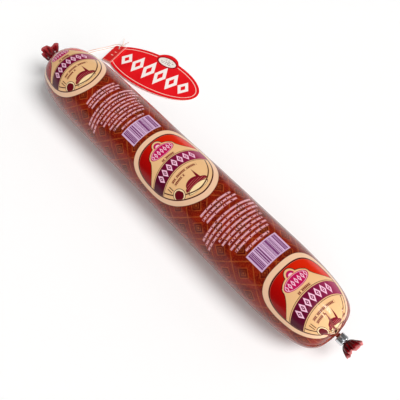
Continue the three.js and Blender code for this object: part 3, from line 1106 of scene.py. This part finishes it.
TAG_LENGTH = 107.0
TAG_HALF_WIDTH = 23.2
TAG_OVAL_OFFSET = 3.0
TAG_BUMP_ALONG = 57.0
TAG_BUMP_HALF_LENGTH = 13.5
TAG_BUMP_MIDDLE = 20.2
TAG_BUMP_HALF_HEIGHT = 11.6
TAG_THICKNESS = 0.6
TAG_STACK = 1.6
FLAP_LENGTH = 11.0
FLAP_HALF_WIDTH = 11.0
FLAP_EXTRA_TOP = 4.2
TAG_BOW = 0.9  # the card rises this much along its middle
FLAP_SPRING = 0.7  # and the flap's cut edge this much
TAG_HOLE = (5.5, 9.9)
TAG_HOLE_FROM_EDGE = 3.2
TAG_HOLE_RADIUS = 1.3
TAG_RAISE = 1.4
TAG_PLACE = (-181.6, 57.9, TAG_RAISE)
TAG_TURN = radians(14.9)
TAG_COLUMNS = 48
TAG_STEPS = 150
FOLD_STEPS = 12
FLAP_STEPS = 18
TAG_NAME_MIDDLE = 5.55  # these two are in centimetres, as the tag's map is
TAG_PATCH = (5.75, 2.18)

tag_frame = (
    Matrix.Translation(Vector(TAG_PLACE))
    @ Matrix.Rotation(TAG_TURN, 4, "Z")
    @ Matrix.Rotation(asin(TAG_RAISE / TAG_LENGTH), 4, "Y")
)


def tag_edges(x):
    """The card's lower and upper edge at a distance from the fold."""
    half = TAG_LENGTH / 2
    share = sqrt(max(0.0, 1 - ((x - half) / half) ** 2))
    low = TAG_OVAL_OFFSET - TAG_HALF_WIDTH * share
    high = TAG_OVAL_OFFSET + TAG_HALF_WIDTH * share
    across = (x - TAG_BUMP_ALONG) / TAG_BUMP_HALF_LENGTH
    if abs(across) < 1:
        high = max(high, TAG_BUMP_MIDDLE + TAG_BUMP_HALF_HEIGHT * sqrt(1 - across * across))
    if x < FLAP_LENGTH:
        low = min(low, -FLAP_HALF_WIDTH)
        high = max(high, FLAP_HALF_WIDTH + FLAP_EXTRA_TOP * max(0.0, x) / FLAP_LENGTH)
    return low, high


def tag_stations():
    """(x, height, slope, low edge, high edge, flap) down the card from its tip, round the fold."""
    stations = []
    places = [
        TAG_LENGTH / 2 * (1 + cos(pi * i / TAG_STEPS)) for i in range(1, TAG_STEPS + 1)
    ]
    places.insert(0, TAG_LENGTH - 0.004)
    for x in places:
        if x > TAG_STACK / 2:
            bow = TAG_BOW * sin(pi * (x / TAG_LENGTH)) ** 1.5
            stations.append((x, TAG_THICKNESS / 2 + bow, 0.0, *tag_edges(x), False))
    middle = TAG_STACK / 2
    bend = middle - TAG_THICKNESS / 2
    for i in range(FOLD_STEPS + 1):
        turn = pi * i / FOLD_STEPS
        x = middle - bend * sin(turn)
        z = middle - bend * cos(turn)
        stations.append((x, z, turn, -FLAP_HALF_WIDTH, FLAP_HALF_WIDTH, False))
    for i in range(1, FLAP_STEPS + 1):
        x = middle + (FLAP_LENGTH - middle) * i / FLAP_STEPS
        top = FLAP_HALF_WIDTH + FLAP_EXTRA_TOP * x / FLAP_LENGTH
        z = TAG_STACK - TAG_THICKNESS / 2 + FLAP_SPRING * (i / FLAP_STEPS) ** 2
        stations.append((x, z, pi, -FLAP_HALF_WIDTH, top, True))
    return stations


def draw_front(x, y, blush):
    """A line inside the card's edge, a row of lozenges, and a plate with small print."""
    half_x = TAG_LENGTH / 20
    half_y = TAG_HALF_WIDTH / 10
    centre_y = y - TAG_OVAL_OFFSET / 10
    across = (x - half_x) / half_x
    around = centre_y / half_y
    reach = (across * across + around * around).power(0.5)
    steep_x = across / half_x
    steep_y = around / half_y
    steep = (steep_x * steep_x + steep_y * steep_y).power(0.5)
    edge = reach * (reach - 1.0) / steep.most(0.02)
    patch = oval(x, y, *TAG_PATCH, 1.0, 0.50)
    patch_rim = oval(x, y, *TAG_PATCH, 1.16, 0.64)
    step = (x - TAG_NAME_MIDDLE) / 1.38
    index = step.floor() + 0.5
    height = (index * index) * -0.075 + 1.36
    stone = abs(step - index) / 0.46 + abs(centre_y) / height
    ring = stone.within(0.42, 1.0, 0.035) * abs(x - TAG_NAME_MIDDLE).below(4.14, 0.01)
    cell = x / 0.13
    row = y / 0.17
    ink = random_field(cell.floor(), row.floor()).above(0.35, 0.02)
    ink = ink * cell.fract().within(0.15, 0.8, 0.1)
    ink = ink * row.fract().within(0.25, 0.75, 0.1) * patch.below(0.72, 0.04)
    return paint_all(
        paint(srgb(240, 22, 30), srgb(230, 10, 22), blush.above(0.5, 0.4)),
        (srgb(255, 214, 200), edge.within(-0.36, -0.29, 0.02) * patch_rim.above(1.12, 0.03)),
        (srgb(255, 246, 240), ring),
        (srgb(150, 0, 14), patch_rim.below(1.0, 0.03)),
        (srgb(244, 236, 226), patch.below(1.0, 0.03)),
        (srgb(112, 60, 70), ink),
    )


def draw_flap(x, y, blush):
    """One plain red, with a pale line at two of its edges and two short marks."""
    edge = (y + 1.0).within(-0.02, 0.03, 0.01).most(x.within(0.98, 1.03, 0.01))
    marks = oval(x, y, 0.55, -0.15, 0.16, 0.045).least(oval(x, y, 0.62, 0.35, 0.13, 0.04))
    return paint_all(
        paint(srgb(226, 40, 38), srgb(210, 24, 26), blush.above(0.5, 0.4)),
        (srgb(250, 130, 110), edge),
        (srgb(255, 206, 190), marks.below(1.0, 0.2)),
    )


def tag_material():
    material, tree, shader = new_material("tag_print")
    x, y = map_fields(tree, "tag_map")  # centimetres from the middle of the fold
    flat = pair(x, y)
    on_flap = attribute_field(tree, "flap").above(0.5, 0.01)
    blush = noise_field(flat, 0.6, 2.0)
    colour = paint(draw_front(x, y, blush), draw_flap(x, y, blush), on_flap)
    fibre = noise_field(flat, 26.0, 4.0, 0.6)
    set_inputs(shader, {"Coat Weight": 0.3, "Coat Roughness": 0.15})
    dress(shader, colour, fibre * 0.14 + 0.26, bump(fibre, 0.00003))
    return material


def card_material():
    material, tree, shader = new_material("tag_board")
    place = place_field(tree)
    fibre = noise_field(place, 900.0, 4.0, 0.65)
    colour = paint(srgb(238, 232, 222), srgb(214, 204, 190), fibre.above(0.52, 0.3))
    dress(shader, colour, 0.8, bump(fibre, 0.00004))
    return material


def tag_faces(rows):
    """The faces of the card's two sides, then those of its cut edge, and how many are first."""
    wide = TAG_COLUMNS + 1
    side = rows * wide
    faces = []
    for i in range(rows - 1):
        for j in range(TAG_COLUMNS):
            a = i * wide + j
            faces.append((a, a + 1, a + wide + 1, a + wide))
            faces.append((side + a, side + a + wide, side + a + wide + 1, side + a + 1))
    printed = len(faces)
    rim = [i * wide for i in range(rows)]
    rim += [(rows - 1) * wide + j for j in range(1, wide)]
    rim += [i * wide + TAG_COLUMNS for i in range(rows - 2, -1, -1)]
    rim += [j for j in range(TAG_COLUMNS - 1, 0, -1)]
    for a, b in zip(rim, rim[1:] + rim[:1]):
        faces.append((a, b, side + b, side + a))
    return faces, printed


def build_tag():
    stations = tag_stations()
    vertices = []
    flat = []
    for up in (1, -1):
        offset = up * TAG_THICKNESS / 2
        for x, z, turn, low, high, is_flap in stations:
            for j in range(TAG_COLUMNS + 1):
                y = low + (high - low) * j / TAG_COLUMNS
                # the two sides change places round the fold, so the card is pinched there
                point = Vector((x - sin(turn) * offset, y, z + cos(turn) * offset))
                vertices.append(tag_frame @ point * MM)
                flat.append((x / 10, y / 10, 1.0 if is_flap else 0.0))
    faces, printed = tag_faces(len(stations))
    mesh = new_mesh("hang_tag_card", vertices, faces)
    uv = mesh.uv_layers.new(name="tag_map")
    for loop in mesh.loops:
        uv.data[loop.index].uv = flat[loop.vertex_index][:2]
    add_attribute(mesh, "flap", [value[2] for value in flat])
    mesh.materials.append(tag_material())
    mesh.materials.append(card_material())
    for polygon in mesh.polygons:
        is_printed = polygon.index < printed
        polygon.material_index = 0 if is_printed else 1
        polygon.use_smooth = is_printed
    fix_normals(mesh)
    tag = add_object("hang_tag_card", mesh)
    punch_hole(tag)
    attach(tag, "root")
    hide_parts("hang_tag")


def punch_hole(tag):
    """Cuts the hole for the thread through the card and its flap."""
    work = bmesh.new()
    bmesh.ops.create_cone(
        work,
        cap_ends=True,
        segments=48,
        radius1=TAG_HOLE_RADIUS * MM,
        radius2=TAG_HOLE_RADIUS * MM,
        depth=12 * MM,
        matrix=Matrix.Translation((tag_frame @ Vector((*TAG_HOLE, 0.0))) * MM),
    )
    mesh = bpy.data.meshes.new("punch")
    work.to_mesh(mesh)
    work.free()
    punch = add_object("punch", mesh)
    cut = tag.modifiers.new("hole", "BOOLEAN")
    cut.operation = "DIFFERENCE"
    cut.solver = "EXACT"
    cut.object = punch
    graph = bpy.context.evaluated_depsgraph_get()
    made = bpy.data.meshes.new_from_object(tag.evaluated_get(graph))
    tag.modifiers.clear()
    tag.data = made
    bpy.data.objects.remove(punch)


build_tag()

# ---- Thread finish and knot


def thread_material():
    material, tree, shader = new_material("cotton_thread")
    place = place_field(tree)
    fluff = noise_field(place, 3200.0, 3.0, 0.6)
    tint = noise_field(place, 90.0, 2.0, 0.5)
    colour = paint(srgb(250, 226, 214), srgb(226, 186, 170), tint.above(0.5, 0.3))
    colour = paint(colour, srgb(200, 150, 140), fluff.above(0.62, 0.1) * 0.5)
    shader.inputs["Sheen Weight"].default_value = 0.4
    dress(shader, colour, 0.85, bump(fluff, 0.00012))
    return material


cotton = thread_material()
thread.data.materials.append(cotton)


KNOT_FROM_EDGE = 2.6
HITCH_GAP = 0.3  # air between the hitch and the card
LOOSE_END = 7.0
FIBRES = 9  # in the frayed tip of each loose end


def build_knot():
    """The hitch through the tag's hole, the tied knot beside its edge, and two frayed ends."""
    strands = StrandMesh()
    hole_x, hole_y = TAG_HOLE
    edge = hole_y + TAG_HOLE_FROM_EDGE
    middle_y = edge + KNOT_FROM_EDGE
    above = TAG_STACK + HITCH_GAP + THREAD_DIAMETER / MM / 2
    below = -HITCH_GAP - THREAD_DIAMETER / MM / 2
    middle_z = (above + below) / 2

    def place(points):
        return [tag_frame @ Vector(p) * MM for p in points]

    hitch = [
        (hole_x - 0.2, middle_y, middle_z),
        (hole_x - 0.2, edge + 0.2, above),
        (hole_x - 0.1, hole_y + 0.7, above),
        (hole_x, hole_y, middle_z),
        (hole_x + 0.1, hole_y + 0.7, below),
        (hole_x + 0.2, edge + 0.2, below),
        (hole_x + 0.2, middle_y, middle_z),
    ]
    strands.add(place(smooth_route(hitch, 8)), THREAD_DIAMETER)
    tied = []
    for i in range(121):
        t = FULL_TURN * i / 120
        across = 0.38 * (sin(t) + 2 * sin(2 * t))
        along = 0.34 * (cos(t) - 2 * cos(2 * t))
        tied.append((hole_x + across, middle_y + along, middle_z - 0.55 * sin(3 * t)))
    strands.add(place(tied), THREAD_DIAMETER)
    draw = random.Random(8)
    for across, up in ((-0.35, 0.5), (0.55, 0.25)):
        way = Vector((across, 1.0, up)).normalized() * LOOSE_END
        start = Vector((hole_x, middle_y, middle_z))
        bend = Vector((0.0, 0.0, 0.8))
        stem = []
        for i in range(21):
            t = i / 20 * 0.72
            stem.append(start + way * t + bend * (4 * t * (1 - t) / 2))
        strands.add(place(stem), THREAD_DIAMETER, radii=[1.0] * 18 + [0.95, 0.85, 0.7])
        for _ in range(FIBRES):
            spray = Vector([draw.uniform(-1, 1) for _ in range(3)]) * 1.2
            fibre = []
            for i in range(7):
                t = i / 6
                fibre.append(stem[-2] + (way * 0.34 + spray * t) * t)
            radii = [0.30 - 0.18 * i / 6 for i in range(7)]
            strands.add(place(fibre), THREAD_DIAMETER, 5, radii=radii)
    knot = strands.make("thread_knot_tied")
    knot.data.materials.append(cotton)
    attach(knot, "root")
    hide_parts("thread_knot")
    return knot


knot = build_knot()
